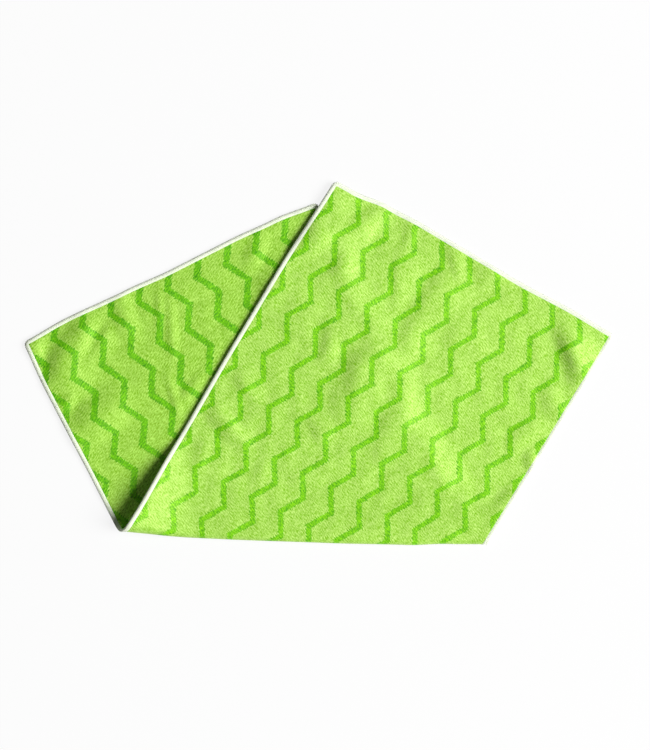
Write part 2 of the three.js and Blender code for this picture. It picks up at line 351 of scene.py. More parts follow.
lifted = edge_lift(np.array([0.0]), np.array([CLOTH_WIDTH / 2]))[0]
print("the cloth is lifted %.1f mm at its edges" % lifted)

# %% [markdown]
# ## The fold
#
# The fold is not pressed flat, so it is a small loop: half a circle of cloth that is fuller at
# the left end. Past the loop the upper layer runs down on to the lower one. Bending a flat mesh
# with a modifier would give one even roll, so the fold is worked out instead, place by place.

# %% Write down the loop at the fold
# At places along the fold: the loop's radius, how far past the loop the upper layer has come down
# on to the lower one, and how far the fold swings out of the straight
LOOP_RADIUS = {"at": (0, 72, 346), "is": (9.6, 5, 4.5)}
LOOP_RUN_OUT = {"at": (0, 30, 80, 200, 346), "is": (135, 120, 75, 50, 56)}
FOLD_SWING = {
    "at": (0, 24, 45, 120, 200, 270, 310, 346),
    "is": (1.4, 2.0, 2.4, 2.8, 2.5, 1.5, -1, -2),
}
SWING_REACH = 70.0  # how far into the cloth that swing is felt

fuller = LOOP_RADIUS["is"][0] / LOOP_RADIUS["is"][-1]
print("the loop at the fold is %.1f times as full at its left end" % fuller)


# %% Fold the flat piece
def fold_coordinates(along, across):
    """How far past the fold (negative on the lower layer), and how far along it from its left."""
    past = (along - FOLD_START) * sin_slant - across * cos_slant
    beside = (along - FOLD_START) * cos_slant + across * sin_slant
    return past, beside


def middle(flat_along, flat_across):
    """The middle of the cloth's thickness, folded and laid on the table."""
    past, beside = fold_coordinates(*pulled(flat_along, flat_across))
    radius = from_table(LOOP_RADIUS, beside)
    run_out = from_table(LOOP_RUN_OUT, beside)
    quarter = math.pi / 2 * radius
    in_loop = np.abs(past) < quarter
    turn = np.clip(past / radius, -math.pi / 2, math.pi / 2)
    inward = np.where(in_loop, quarter - radius * np.cos(turn), np.abs(past))
    offset = inward - from_table(FOLD_SWING, beside) * fade(inward, SWING_REACH)
    x = FOLD_POINT[0] + beside * along_fold[0] + offset * away_from_fold[0]
    y = FOLD_POINT[1] + beside * along_fold[1] + offset * away_from_fold[1]
    lower = lower_height(x, y, flat_along, flat_across)
    upper = upper_height(x, y, flat_along, flat_across)
    over = upper + (lower + 2 * radius - upper) * fade(past - quarter, run_out)
    loop = lower + radius * (1 + np.sin(turn))
    height = np.where(past <= -quarter, lower, np.where(in_loop, loop, over))
    return np.stack([x, y, height], -1)


def directions(along, across, step=0.4):
    """The cloth's own directions at a place: along it, across it, and square out of its face."""
    run_along = middle(along + step, across) - middle(along - step, across)
    run_across = middle(along, across + step) - middle(along, across - step)
    run_along /= np.linalg.norm(run_along, axis=-1, keepdims=True)
    run_across /= np.linalg.norm(run_across, axis=-1, keepdims=True)
    face = np.cross(run_along, run_across)
    return run_along, run_across, face / np.linalg.norm(face, axis=-1, keepdims=True)


def place(along, across, up):
    """A point at a height over the middle of the cloth, measured square to it."""
    return middle(along, across) + directions(along, across)[2] * np.asarray(up)[..., None]


corner = place(np.array([0.0]), np.array([CLOTH_WIDTH]), np.array([0.0]))[0]
print("the back left corner lies at x %.0f, y %.0f mm" % tuple(corner[:2]))

# %% [markdown]
# ## Where the knitted pattern lies
#
# The zigzag lines are knitted in, so they belong on the flat cloth. Knitted cloth is never quite
# true: its courses lean a little and are stretched a little unevenly. That is put into the
# cloth's own map of places, a UV map on which one unit is the cloth's length.

# %% Name the pattern's places
KNIT_LEAN = {"at": (30, 190, 600), "is": (0.064, 0.1, 0.06)}  # drift along, for each mm across
KNIT_SLIP = {"at": (30, 120, 190, 340, 410, 480, 580), "is": (5.6, 9.9, 9.9, 4.1, 4.2, 6.3, 10.2)}
WALE_DRIFT_LOWER = {"at": (35, 60, 110, 140, 225), "is": (2.8, 2.7, 1.5, 1.5, 2.8)}
WALE_DRIFT_UPPER = {"at": (20, 60, 120, 200, 280), "is": (2.7, 3.1, 3.6, 3.6, 2.4)}
DRIFT_TURN = 15.0  # the drift changes over this far on either side of the fold


def knit_place(along, across):
    """Where a place on the cut cloth comes in the knit: along the wales, and across them."""
    along, across = pulled(along, across)
    past, _ = fold_coordinates(along, across)
    lean = from_table(KNIT_LEAN, along) * (across - CLOTH_WIDTH / 2)
    lower, upper = from_table(WALE_DRIFT_LOWER, across), from_table(WALE_DRIFT_UPPER, across)
    drift = lower + (upper - lower) * smoothstep(past, -DRIFT_TURN, DRIFT_TURN)
    return along - lean - from_table(KNIT_SLIP, along), across - drift


knit_corner = knit_place(np.array([0.0]), np.array([0.0]))
print("the front left corner comes at %.1f, %.1f mm in the knit" % tuple(v[0] for v in knit_corner))

# %% [markdown]
# ## The sheet
#
# Microfibre cloth like this is a single knitted layer under 2 mm thick. A plane with a Solidify
# modifier could be given that thickness. Here both skins are laid by the map and joined by a
# narrow rim, so the stitching can pinch the cloth, and the reverse can show its own side of the
# knit. The cut edge lies inside the edging, which hides it. The rows are even in the open cloth,
# close together round the fold, and close again beside the edges.

# %% Cut the sheet into rows
CELLS_LOWER, CELLS_LOOP, CELLS_UPPER, CELLS_ACROSS = 118, 20, 146, 128
TUCK = 2.2  # the sheet's cut edge lies this far inside the edging's outer edge
EDGE_ROWS = (0.0, 1.0, 1.8, 2.4, 3.2, 4.4, 5.6)  # close rows beside an edge, from the cut edge
PINCH_AT = 3.2  # the cloth is thinnest up to this far from the edging's outer edge
PINCH_WIDE = 1.4  # and has its full thickness again this much further in
PINCH_DEEP = 0.35  # share of the thickness that is lost


def edge_spaced(start, end, cells, close_start, close_end):
    """Even rows from start to end, with close rows beside the ends that ask for them."""
    near = np.array(EDGE_ROWS)
    low = start + near[-1] if close_start else start
    high = end - near[-1] if close_end else end
    rows = [np.linspace(low, high, cells + 1)]
    if close_start:
        rows.insert(0, start + near[:-1])
    if close_end:
        rows.append(end - near[:-1][::-1])
    return np.concatenate(rows)


def along_rows(across):
    """Places along the cloth where it is cut into cells, for one line across it."""
    fold_here = FOLD_START + across * cos_slant / sin_slant
    radius = float(from_table(LOOP_RADIUS, across / sin_slant))
    half_loop = math.pi / 2 * radius / sin_slant
    lower = edge_spaced(TUCK, fold_here - half_loop, CELLS_LOWER, True, False)
    loop = np.linspace(fold_here - half_loop, fold_here + half_loop, CELLS_LOOP + 1)
    upper = edge_spaced(fold_here + half_loop, CLOTH_LENGTH - TUCK, CELLS_UPPER, False, True)
    return np.concatenate([lower, loop[1:-1], upper])


def pinch(along, across):
    """How much of its thickness the cloth loses where the overlock stitches draw it in."""
    edge = np.minimum.reduce([along, CLOTH_LENGTH - along, across, CLOTH_WIDTH - across])
    return 1 - PINCH_DEEP * fade(edge - PINCH_AT, PINCH_WIDE)


print("rows of cells along the front edge:", len(along_rows(0.0)) - 1)


# %% Make a mesh that knows its place in the knit
def in_scene(name, data):
    """An object in the scene for a mesh, a lamp or a camera."""
    made = bpy.data.objects.new(name, data)
    bpy.context.scene.collection.objects.link(made)
    return made


def mesh_object(name, points, faces, places=None):
    """A plain mesh in metres, with its knitted places as a UV map where they are given."""
    mesh = bpy.data.meshes.new(name)
    mesh.from_pydata((points * MM).tolist(), [], faces.tolist())
    mesh.shade_smooth()
    if places is not None:
        uv = mesh.uv_layers.new(name="knit")
        corners = np.array([loop.vertex_index for loop in mesh.loops])
        uv.uv.foreach_set("vector", (places[corners] / CLOTH_LENGTH).astype(np.float32).ravel())
    return in_scene(name, mesh)


print("unit of the knit's UV map:", CLOTH_LENGTH, "mm")

# %% Lay the sheet on the folds
across_rows = edge_spaced(TUCK, CLOTH_WIDTH - TUCK, CELLS_ACROSS, True, True)
flat_along = np.stack([along_rows(across) for across in across_rows], 1)
flat_across = np.broadcast_to(across_rows, flat_along.shape)
rows, columns = flat_along.shape
half_thick = CLOTH_THICK / 2 * pinch(flat_along, flat_across)
face_points = place(flat_along, flat_across, half_thick).reshape(-1, 3)
reverse_points = place(flat_along, flat_across, -half_thick).reshape(-1, 3)

index = np.arange(rows * columns).reshape(rows, columns)
a, b, c, d = index[:-1, :-1], index[1:, :-1], index[1:, 1:], index[:-1, 1:]
face_quads = np.stack([a, b, c, d], -1).reshape(-1, 4)
reverse_quads = np.stack([a, d, c, b], -1).reshape(-1, 4) + rows * columns
rim = np.concatenate([index[:-1, 0], index[-1, :-1], index[:0:-1, -1], index[0, :0:-1]])
onward = np.roll(rim, -1)
rim_quads = np.stack([rim, rim + rows * columns, onward + rows * columns, onward], -1)

knit_along, knit_across = knit_place(flat_along, flat_across)
knit_places = np.stack([knit_along.ravel(), knit_across.ravel()], -1)
cloth = mesh_object(
    "cloth_sheet",
    np.concatenate([face_points, reverse_points]),
    np.concatenate([face_quads, reverse_quads, rim_quads]),
    np.concatenate([knit_places, knit_places]),
)
reverse_side = cloth.data.attributes.new("reverse_side", "FLOAT", "POINT")
reverse_side.data.foreach_set("value", np.repeat([0.0, 1.0], rows * columns).astype(np.float32))
print("sheet:", rows, "x", columns, "places,", 2 * len(cloth.data.polygons), "triangles")

# %% [markdown]
# ## The edging
#
# An overlock machine trims the edge and wraps it in thread in one pass, so the edging is a roll
# of thread round the cut edge with the stitches side by side across it. A plain roll is the body
# of it. A curve with a bevel would do on a flat cloth, but this roll is built point by point, so
# that the same map folds it. It is highest at its outer side and runs down into the pile at its
# inner side, and the stitches lie round it.

# %% Walk round the edge
def edging_line(spacing):
    """Even steps round the middle of the edging: along, across, and the direction outwards."""
    near = EDGING_WIDTH / 2
    bend = CORNER_RADIUS - near
    low = CORNER_RADIUS
    far_along, far_across = CLOTH_LENGTH - CORNER_RADIUS, CLOTH_WIDTH - CORNER_RADIUS
    centres = [(low, low), (far_along, low), (far_along, far_across), (low, far_across)]
    stretches = []
    for side in range(4):
        start, end = np.array(centres[side]), np.array(centres[(side + 1) % 4])
        out = math.radians(90 * side - 90)
        stretches.append((np.linalg.norm(end - start), start, end, out, out))
        stretches.append((bend * math.pi / 2, end, end, out, out + math.pi / 2))
    whole = sum(length for length, *_ in stretches)
    steps = np.arange(round(whole / spacing)) * whole / round(whole / spacing)
    found, begun = [], 0.0
    for length, start, end, out_start, out_end in stretches:
        here = steps[(steps >= begun) & (steps < begun + length)]
        share = ((here - begun) / length)[:, None]
        out = out_start + (out_end - out_start) * share
        outward = np.concatenate([np.cos(out), np.sin(out)], 1)
        found.append(np.concatenate([start + (end - start) * share + bend * outward, outward], 1))
        begun += length
    return np.concatenate(found)


print("round the middle of the edging: %.2f m" % (len(edging_line(1.0)) * MM))

# %% Sweep the roll
ROLL_STEP = 2.4
ROLL_SIDES = 12
ROLL_SQUARE = 0.6  # 1 would be an oval roll, and near 0 a square one
ROLL_TAPER = 0.18  # the roll is lower by twice this share at its inner side
THREAD = 0.8  # thickness of the overlock thread, fluffed up by wear


def squarer(wave):
    """A flatter and fuller wave, for a roll that is squarer than an oval."""
    return np.sign(wave) * np.abs(wave) ** ROLL_SQUARE


walk = edging_line(ROLL_STEP)
turns = 2 * math.pi * np.arange(ROLL_SIDES) / ROLL_SIDES
outward = (EDGING_WIDTH / 2 - THREAD / 2) * squarer(np.cos(turns))
wedge = 1 - ROLL_TAPER + ROLL_TAPER * squarer(np.cos(turns))
upward = (EDGING_THICK / 2 - THREAD / 2) * squarer(np.sin(turns)) * wedge
roll_along = walk[:, 0:1] + walk[:, 2:3] * outward
roll_across = walk[:, 1:2] + walk[:, 3:4] * outward
roll_points = place(roll_along, roll_across, np.broadcast_to(upward, roll_along.shape))
station = np.arange(len(walk))[:, None] * ROLL_SIDES
side = np.arange(ROLL_SIDES)[None]
ahead, beyond = np.roll(station, -1, 0), (side + 1) % ROLL_SIDES
roll_quads = np.stack([station + side, ahead + side, ahead + beyond, station + beyond], -1)
edging_roll = mesh_object("edging_roll", roll_points.reshape(-1, 3), roll_quads.reshape(-1, 4))
print("edging roll:", len(walk), "steps round", round(len(walk) * ROLL_STEP), "mm")

# %% [markdown]
# ## The stitches
#
# Every stitch is the same loop of thread, set down again and again along a path, which is what
# Geometry Nodes are for. The path is a row of loose points that know which way the cloth runs and
# faces there. The tree sets one leaning loop on each point, then makes the result real and gives
# it its yarn. The thread is flattened by the machine, and its loop turns down sharply into the
# pile at its inner end. There the shading is creased, so that the long tops of the stitches stay
# evenly lit.

# %% Start the yarn material, so that the tree of stitches can name it
def empty_material(name):
    """A material without any nodes, ready to be built up."""
    made = bpy.data.materials.new(name)
    made.use_nodes = True
    made.node_tree.nodes.clear()
    return made


yarn = empty_material("white_overlock_yarn")
print("material:", yarn.name)


# %% Start the tree of stitches
def stitch_tree(name):
    """Sets a thread loop on each point: X along the seam, Z out of the cloth's face."""
    tree = bpy.data.node_groups.new(name, "GeometryNodeTree")
    socket = tree.interface.new_socket
    socket("Seam", in_out="INPUT", socket_type="NodeSocketGeometry")
    for label in ("Loop width", "Loop height", "Thread radius", "Lean"):
        socket(label, in_out="INPUT", socket_type="NodeSocketFloat")
    socket("Stitches", in_out="OUTPUT", socket_type="NodeSocketGeometry")
    return tree


def add_node(tree, kind, links=None, **settings):
    """Adds a node, sets it up, and links or sets its inputs by name or number."""
    made = tree.nodes.new(kind)
    for key, value in settings.items():
        setattr(made, key, value)
    for key, value in (links or {}).items():
        if isinstance(value, bpy.types.NodeSocket):
            tree.links.new(value, made.inputs[key])
        else:
            made.inputs[key].default_value = value
    return made


overlock = stitch_tree("overlock_stitches")
given = add_node(overlock, "NodeGroupInput").outputs
print("inputs of the tree:", ", ".join(socket.name for socket in given if socket.name))

# %% [markdown]
# ### One loop of thread
#
# Seen along the seam, a stitch is a long flat loop round the edge. It starts as a circle of a few
# points. A power of each coordinate makes it square, and a lower inner end makes it a wedge.

# %% Shape one loop of thread
LOOP_STEPS = 8
LOOP_SQUARE = 0.45  # 1 would be an oval stitch, and near 0 a square one
INNER_SHARE = 0.65  # height of a stitch at its inner end, as a share of its height

circle = add_node(
    overlock, "GeometryNodeCurvePrimitiveCircle", {"Resolution": LOOP_STEPS, "Radius": 1.0}
)
position = add_node(overlock, "GeometryNodeInputPosition").outputs[0]
on_circle = add_node(overlock, "ShaderNodeSeparateXYZ", {0: position}).outputs


def squared_off(value):
    """Turns the round of a circle into the flatter side of a pressed loop."""
    size = add_node(overlock, "ShaderNodeMath", {0: value}, operation="ABSOLUTE").outputs[0]
    full = add_node(
        overlock, "ShaderNodeMath", {0: size, 1: LOOP_SQUARE}, operation="POWER"
    ).outputs[0]
    sign = add_node(overlock, "ShaderNodeMath", {0: value}, operation="SIGN").outputs[0]
    return add_node(overlock, "ShaderNodeMath", {0: sign, 1: full}, operation="MULTIPLY").outputs[0]


inwards, upwards = squared_off(on_circle["X"]), squared_off(on_circle["Y"])
half_x = add_node(overlock, "ShaderNodeMath", {0: inwards, 1: 0.5}, operation="MULTIPLY").outputs[0]
half_high = add_node(
    overlock,
    "ShaderNodeMath",
    {0: inwards, 1: -(1 - INNER_SHARE) / 4, 2: (1 + INNER_SHARE) / 4},
    operation="MULTIPLY_ADD",
).outputs[0]
half_y = add_node(
    overlock, "ShaderNodeMath", {0: upwards, 1: half_high}, operation="MULTIPLY"
).outputs[0]
loop_x, loop_y = [
    add_node(overlock, "ShaderNodeMath", {0: half, 1: given[size]}, operation="MULTIPLY").outputs[0]
    for half, size in ((half_x, "Loop width"), (half_y, "Loop height"))
]
loop_place = add_node(overlock, "ShaderNodeCombineXYZ", {"X": loop_x, "Y": loop_y}).outputs[0]
loop = add_node(
    overlock,
    "GeometryNodeSetPosition",
    {"Geometry": circle.outputs["Curve"], "Position": loop_place},
)
inner_end = add_node(
    overlock,
    "GeometryNodeStoreNamedAttribute",
    {"Geometry": loop.outputs[0], "Name": "inwards", "Value": inwards},
    data_type="FLOAT",
    domain="POINT",
)
stand_up = add_node(
    overlock,
    "GeometryNodeTransform",
    {"Geometry": inner_end.outputs[0], "Rotation": (math.pi / 2, 0.0, math.pi / 2)},
)
lean = add_node(overlock, "ShaderNodeCombineXYZ", {"Z": given["Lean"]}).outputs[0]
leaning = add_node(
    overlock, "GeometryNodeTransform", {"Geometry": stand_up.outputs[0], "Rotation": lean}
)
print("one stitch:", LOOP_STEPS, "points round its loop")

# %% Give the loop its thread
THREAD_SIDES = 6
THREAD_SPREAD = 2.0  # how much wider a flattened thread is than it is thick

ring = add_node(
    overlock,
    "GeometryNodeCurvePrimitiveCircle",
    {"Resolution": THREAD_SIDES, "Radius": given["Thread radius"]},
)
section = add_node(
    overlock,
    "GeometryNodeTransform",
    {"Geometry": ring.outputs["Curve"], "Scale": (THREAD_SPREAD, 1.0, 1.0)},
)
thread = add_node(
    overlock,
    "GeometryNodeCurveToMesh",
    {"Curve": leaning.outputs[0], "Profile Curve": section.outputs[0]},
)
print("and", LOOP_STEPS * THREAD_SIDES, "faces on its thread")

# %% Shade the thread
STITCH_BEND = math.radians(45)  # at its inner end a thread that bends by more than this is creased

smooth = add_node(
    overlock, "GeometryNodeSetShadeSmooth", {"Geometry": thread.outputs[0], "Shade Smooth": True}
)
bent = add_node(overlock, "GeometryNodeInputMeshEdgeAngle").outputs["Unsigned Angle"]
inside = add_node(
    overlock, "GeometryNodeInputNamedAttribute", {"Name": "inwards"}, data_type="FLOAT"
).outputs[0]
inner = add_node(overlock, "ShaderNodeMath", {0: inside}, operation="SIGN").outputs[0]
bent_inside = add_node(
    overlock, "ShaderNodeMath", {0: bent, 1: inner}, operation="MULTIPLY"
).outputs[0]
turned_in = add_node(
    overlock, "ShaderNodeMath", {0: bent_inside, 1: STITCH_BEND}, operation="GREATER_THAN"
).outputs[0]
creased = add_node(
    overlock,
    "GeometryNodeSetShadeSmooth",
    {"Geometry": smooth.outputs[0], "Selection": turned_in, "Shade Smooth": False},
    domain="EDGE",
)
print("a bend of over %.0f degrees at the inner end is creased" % math.degrees(STITCH_BEND))

# %% [markdown]
# ### A loop on every point
#
# Instancing sets the one loop on every point of the seam and turns it to the way the cloth runs
# and faces there. Instances are only references, so the last two nodes make them real and give
# them their yarn.

# %% Set a loop on every point of the seam
run, face = [
    add_node(
        overlock, "GeometryNodeInputNamedAttribute", {"Name": name}, data_type="FLOAT_VECTOR"
    ).outputs[0]
    for name in ("run", "face")
]
facing = add_node(
    overlock, "FunctionNodeAlignRotationToVector", {"Vector": face}, axis="Z"
).outputs[0]
turned = add_node(
    overlock,
    "FunctionNodeAlignRotationToVector",
    {"Rotation": facing, "Vector": run},
    axis="X",
    pivot_axis="Z",
).outputs[0]
points = add_node(overlock, "GeometryNodeMeshToPoints", {"Mesh": given["Seam"]})
loops = add_node(
    overlock,
    "GeometryNodeInstanceOnPoints",
    {"Points": points.outputs[0], "Instance": creased.outputs[0], "Rotation": turned},
)
real = add_node(overlock, "GeometryNodeRealizeInstances", {"Geometry": loops.outputs[0]})
dressed = add_node(
    overlock, "GeometryNodeSetMaterial", {"Geometry": real.outputs[0], "Material": yarn}
)
add_node(overlock, "NodeGroupOutput", {"Stitches": dressed.outputs[0]})
print("overlock tree:", len(overlock.nodes), "nodes")


# %% [markdown]
# ### The seam, and a plain mesh of it
#
# The seam is a mesh of points alone, and each point keeps two directions as attributes. A modifier
# runs the tree on it. The result is then kept as a plain mesh, because an export drops instances
# and what a modifier would still make.

# %% Find the points of the seam
def seam_points(name, middle_line, rise):
    """Loose points on the cloth that know the seam's run and the cloth's face."""
    along, across, out_along, out_across = middle_line.T
    run_along, run_across, face = directions(along, across)
    run = run_across * out_along[:, None] - run_along * out_across[:, None]
    made = mesh_object(name, middle(along, across) + face * rise, np.zeros((0, 4), int))
    for label, vectors in (("run", run), ("face", face)):
        kept = made.data.attributes.new(label, "FLOAT_VECTOR", "POINT")
        kept.data.foreach_set("vector", vectors.astype(np.float32).ravel())
    return made


STITCH_STEP = 1.02  # from one stitch to the next
overlock_seam = seam_points("overlock_seam", edging_line(STITCH_STEP), 0.0)
print("stitches round the edge:", len(overlock_seam.data.vertices))


# %% Sew the overlock stitches
def sewn(name, seam, tree, sizes):
    """Runs a stitch tree on a seam and keeps the result as one plain mesh."""
    modifier = seam.modifiers.new(tree.name, "NODES")
    modifier.node_group = tree
    for socket in tree.interface.items_tree:
        if socket.name in sizes:
            modifier[socket.identifier] = sizes[socket.name]
    evaluated = seam.evaluated_get(bpy.context.evaluated_depsgraph_get())
    mesh = bpy.data.meshes.new_from_object(evaluated)
    mesh.name = name
    bpy.data.objects.remove(seam)
    return in_scene(name, mesh)


STITCH_LEAN = math.radians(14)  # of each stitch, from square across the seam

overlock_stitches = sewn(
    "overlock_stitches",
    overlock_seam,
    overlock,
    {
        "Loop width": (EDGING_WIDTH - THREAD) / math.cos(STITCH_LEAN) * MM,
        "Loop height": (EDGING_THICK - THREAD) * MM,
        "Thread radius": THREAD / 2 * MM,
        "Lean": STITCH_LEAN,
    },
)
print("overlock stitches:", 2 * len(overlock_stitches.data.polygons), "triangles")

# %% [markdown]
# ## Colours
#
# Colours are written as the hex values that a screen shows, and one function turns them into the
# linear values that a shader works with.

# %% Turn hex into linear
def linear(hex_colour):
    """An sRGB hex value as linear red, green and blue, with full alpha."""
    channels = [int(hex_colour[i : i + 2], 16) / 255 for i in (1, 3, 5)]
    light = [c / 12.92 if c <= 0.04045 else ((c + 0.055) / 1.055) ** 2.4 for c in channels]
    return (*light, 1.0)


print("a middle grey, #808080, is %.3f in linear" % linear("#808080")[0])

# %% [markdown]
# ## The knitted microfibre
#
# The yarns are split polyester, matt and soft, dyed in two near shades, so the cloth is never one
# flat green. Where the mix of the two shades follows the knit's relief, it is painted shade. The
# knit shows as fine ribs that run on a slant over the cloth, crossed by the rows of loops. There
# are tens of thousands of loops, too fine to model, so the material draws them at their true size:
# ribs 2.3 mm apart are waves across the cloth's UV map. The zigzag lines are the same knit in a
# darker yarn, and their edges are stepped by the loops.

# %% Start the knitted material
microfibre = empty_material("knitted_microfibre")
knit = microfibre.node_tree
places = add_node(knit, "ShaderNodeUVMap", uv_map="knit").outputs[0]
reverse = add_node(knit, "ShaderNodeAttribute", attribute_name="reverse_side").outputs["Fac"]
print("material:", microfibre.name)

# %% [markdown]
# ## A knit that wanders
#
# No rib is quite straight: the whole knit strays by a fraction of a loop, this way and that. Slow
# noise moves the places at which the ribs are drawn, so all of them stray together.

# %% Let the knit wander
WANDER_SIZE = 8.0  # how soon the ribs turn back
WANDER_REACH = 2.2  # the whole range of their straying

wander = add_node(
    knit,
    "ShaderNodeTexNoise",
    {"Vector": places, "Scale": CLOTH_LENGTH / WANDER_SIZE, "Detail": 1.0},
    noise_dimensions="2D",
).outputs["Color"]
strayed = add_node(
    knit, "ShaderNodeVectorMath", {0: wander, 1: (0.5, 0.5, 0.5)}, operation="SUBTRACT"
).outputs[0]
stray = WANDER_REACH / CLOTH_LENGTH
knit_at = add_node(
    knit,
    "ShaderNodeVectorMath",
    {0: strayed, 1: (stray, stray, 0.0), 2: places},
    operation="MULTIPLY_ADD",
).outputs[0]
print("the ribs stray by up to %.1f mm either way" % (WANDER_REACH / 2))

# %% [markdown]
# ## Ribs, wales and courses
#
# Three sets of straight lines make the look of the loops: the slanting ribs, the wales that run
# along the cloth and the courses that run across it. A cosine of the distance across the lines
# draws each. The reverse shows the backs of the loops, so its lines lie a little otherwise.

# %% Draw the lines of the knit
RIB = {"face": (2.31, 121.0), "reverse": (2.17, 113.4)}  # spacing in mm, direction in degrees
WALE = {"face": (2.08, 1.0), "reverse": (1.98, -0.6)}
COURSE = {"face": (3.6, 87.0), "reverse": (3.6, 87.4)}


def wave_vector(spacing_and_direction):
    """The turn of phase for each UV unit, for lines at a spacing that run in a direction."""
    spacing, direction = spacing_and_direction
    square = math.radians(direction - 90)
    turns_per_unit = 2 * math.pi * CLOTH_LENGTH / spacing
    return (turns_per_unit * math.cos(square), turns_per_unit * math.sin(square), 0.0)


def counted_along(face_vector, reverse_vector):
    """How far a place has come along a direction, which differs on the reverse of the knit."""
    vector = add_node(
        knit,
        "ShaderNodeMix",
        {"Factor": reverse, "A": face_vector, "B": reverse_vector},
        data_type="VECTOR",
    ).outputs["Result"]
    dot = add_node(knit, "ShaderNodeVectorMath", {0: knit_at, 1: vector}, operation="DOT_PRODUCT")
    return dot.outputs["Value"]


phases = [
    counted_along(wave_vector(pattern["face"]), wave_vector(pattern["reverse"]))
    for pattern in (RIB, WALE, COURSE)
]
rib_wave, wale_wave, course_wave = [
    add_node(knit, "ShaderNodeMath", {0: phase}, operation="COSINE").outputs[0] for phase in phases
]
print("lines of the knit:", len(phases), "sets")

# %% Put the ribs, wales and courses together
WALE_SHARE, COURSE_SHARE = 0.5, 0.35  # of the ribs' depth

loops_wave = rib_wave
for wave, share in ((wale_wave, WALE_SHARE), (course_wave, COURSE_SHARE)):
    loops_wave = add_node(
        knit, "ShaderNodeMath", {0: wave, 1: share, 2: loops_wave}, operation="MULTIPLY_ADD"
    ).outputs[0]
print("height of a loop: %.2f times that of a rib" % (1 + WALE_SHARE + COURSE_SHARE))

# %% [markdown]
# ## Uneven yarn, and painted shade between the loops
#
# Split microfibre is never even: each loop is a little lighter or darker than the next. Noise
# that is squeezed across the ribs and drawn out along them gives flecks a loop or two long, and
# slower noise gives faint patches. Together with the ribs they choose a shade between the two
# dyed yarns. The ribs and the flecks also raise the bump, so the choice is paler on the raised
# loops and darker in the hollows between them. That is painted shade, on top of the yarn's own
# unevenness. The patches are uneven yarn alone.

# %% Draw the flecks
FLECK_WIDE, FLECK_LONG = 1.0, 2.8


def along_vector(direction, length):
    """The change of a count for each UV unit, for marks of a length laid in a direction."""
    turn = math.radians(direction)
    return (CLOTH_LENGTH / length * math.cos(turn), CLOTH_LENGTH / length * math.sin(turn), 0.0)


down_rib = counted_along(*(along_vector(RIB[side][1], FLECK_LONG) for side in ("face", "reverse")))
ribs_over = RIB["face"][0] / FLECK_WIDE / (2 * math.pi)
over_ribs = add_node(knit, "ShaderNodeMath", {0: phases[0], 1: ribs_over}, operation="MULTIPLY")
fleck_at = add_node(knit, "ShaderNodeCombineXYZ", {0: over_ribs.outputs[0], 1: down_rib}).outputs[0]
flecks = add_node(
    knit,
    "ShaderNodeTexNoise",
    {"Vector": fleck_at, "Scale": 1.0, "Detail": 2.0, "Roughness": 0.55},
    noise_dimensions="2D",
).outputs[0]
fleck = add_node(knit, "ShaderNodeMath", {0: flecks, 1: 0.5}, operation="SUBTRACT").outputs[0]
print("flecks:", FLECK_WIDE, "x", FLECK_LONG, "mm")

# %% Choose between the dark and the pale yarn
PATCH_SIZE = 7.0
# The ribs add only painted shade, paler on their raised tops and darker in their hollows. The
# flecks raise the bump too, so they add uneven yarn and the same painted shade. The patches add
# uneven yarn.
RIB_PAINTED_SHADE, FLECK_TONE_AND_SHADE, PATCH_TONE = 0.11, 2.3, 0.5  # what each adds to the choice

patches = add_node(
    knit,
    "ShaderNodeTexNoise",
    {"Vector": places, "Scale": CLOTH_LENGTH / PATCH_SIZE, "Detail": 1.0},
    noise_dimensions="2D",
).outputs[0]
patch = add_node(knit, "ShaderNodeMath", {0: patches, 1: 0.5}, operation="SUBTRACT").outputs[0]
tone = 0.5  # half dark and half pale, before each adds its own
for part, weight in ((loops_wave, RIB_PAINTED_SHADE), (fleck, FLECK_TONE_AND_SHADE), (patch, PATCH_TONE)):
    tone = add_node(
        knit, "ShaderNodeMath", {0: part, 1: weight, 2: tone}, operation="MULTIPLY_ADD"
    ).outputs[0]
tone.node.use_clamp = True
print("patches:", PATCH_SIZE, "mm")

# %% [markdown]
# ## The zigzag lines
#
# The lines could be painted on an image, but they follow one rule: evenly spaced lines that rise
# and fall as they run along the cloth. A ping-pong wave gives the rise, and another the distance
# from the nearest line. The ribs and flecks then push that distance to and fro, as the loops step
# a real edge.

# %% Measure the distance from the nearest zigzag line
LINE_SPACING = 29.5  # from one zigzag line to the next
LINE_OFFSET = 1.9  # across the knit, of the middle of the first line
ZIGZAG_PERIOD = 41.06  # along the cloth, from peak to peak
ZIGZAG_START = 53.5  # along, of a peak towards the front edge
ZIGZAG_RISE = 12.3  # across the cloth, from trough to peak

split = add_node(knit, "ShaderNodeSeparateXYZ", {0: places}).outputs
swing = add_node(
    knit,
    "ShaderNodeMath",
    {0: split["X"], 1: CLOTH_LENGTH / ZIGZAG_PERIOD, 2: -ZIGZAG_START / ZIGZAG_PERIOD},
    operation="MULTIPLY_ADD",
).outputs[0]
zigzag = add_node(knit, "ShaderNodeMath", {0: swing, 1: 0.5}, operation="PINGPONG").outputs[0]
risen = add_node(
    knit,
    "ShaderNodeMath",
    {0: zigzag, 1: -2 * ZIGZAG_RISE / LINE_SPACING, 2: ZIGZAG_RISE / 2 / LINE_SPACING},
    operation="MULTIPLY_ADD",
).outputs[0]
counted = add_node(
    knit,
    "ShaderNodeMath",
    {0: split["Y"], 1: CLOTH_LENGTH / LINE_SPACING, 2: risen},
    operation="MULTIPLY_ADD",
).outputs[0]
from_line = add_node(
    knit, "ShaderNodeMath", {0: counted, 1: LINE_OFFSET / LINE_SPACING}, operation="SUBTRACT"
).outputs[0]
nearest = add_node(knit, "ShaderNodeMath", {0: from_line, 1: 0.5}, operation="PINGPONG").outputs[0]
distance = add_node(
    knit, "ShaderNodeMath", {0: nearest, 1: LINE_SPACING}, operation="MULTIPLY"
).outputs[0]
print("zigzag lines:", LINE_SPACING, "mm apart, with a repeat of", ZIGZAG_PERIOD, "mm")

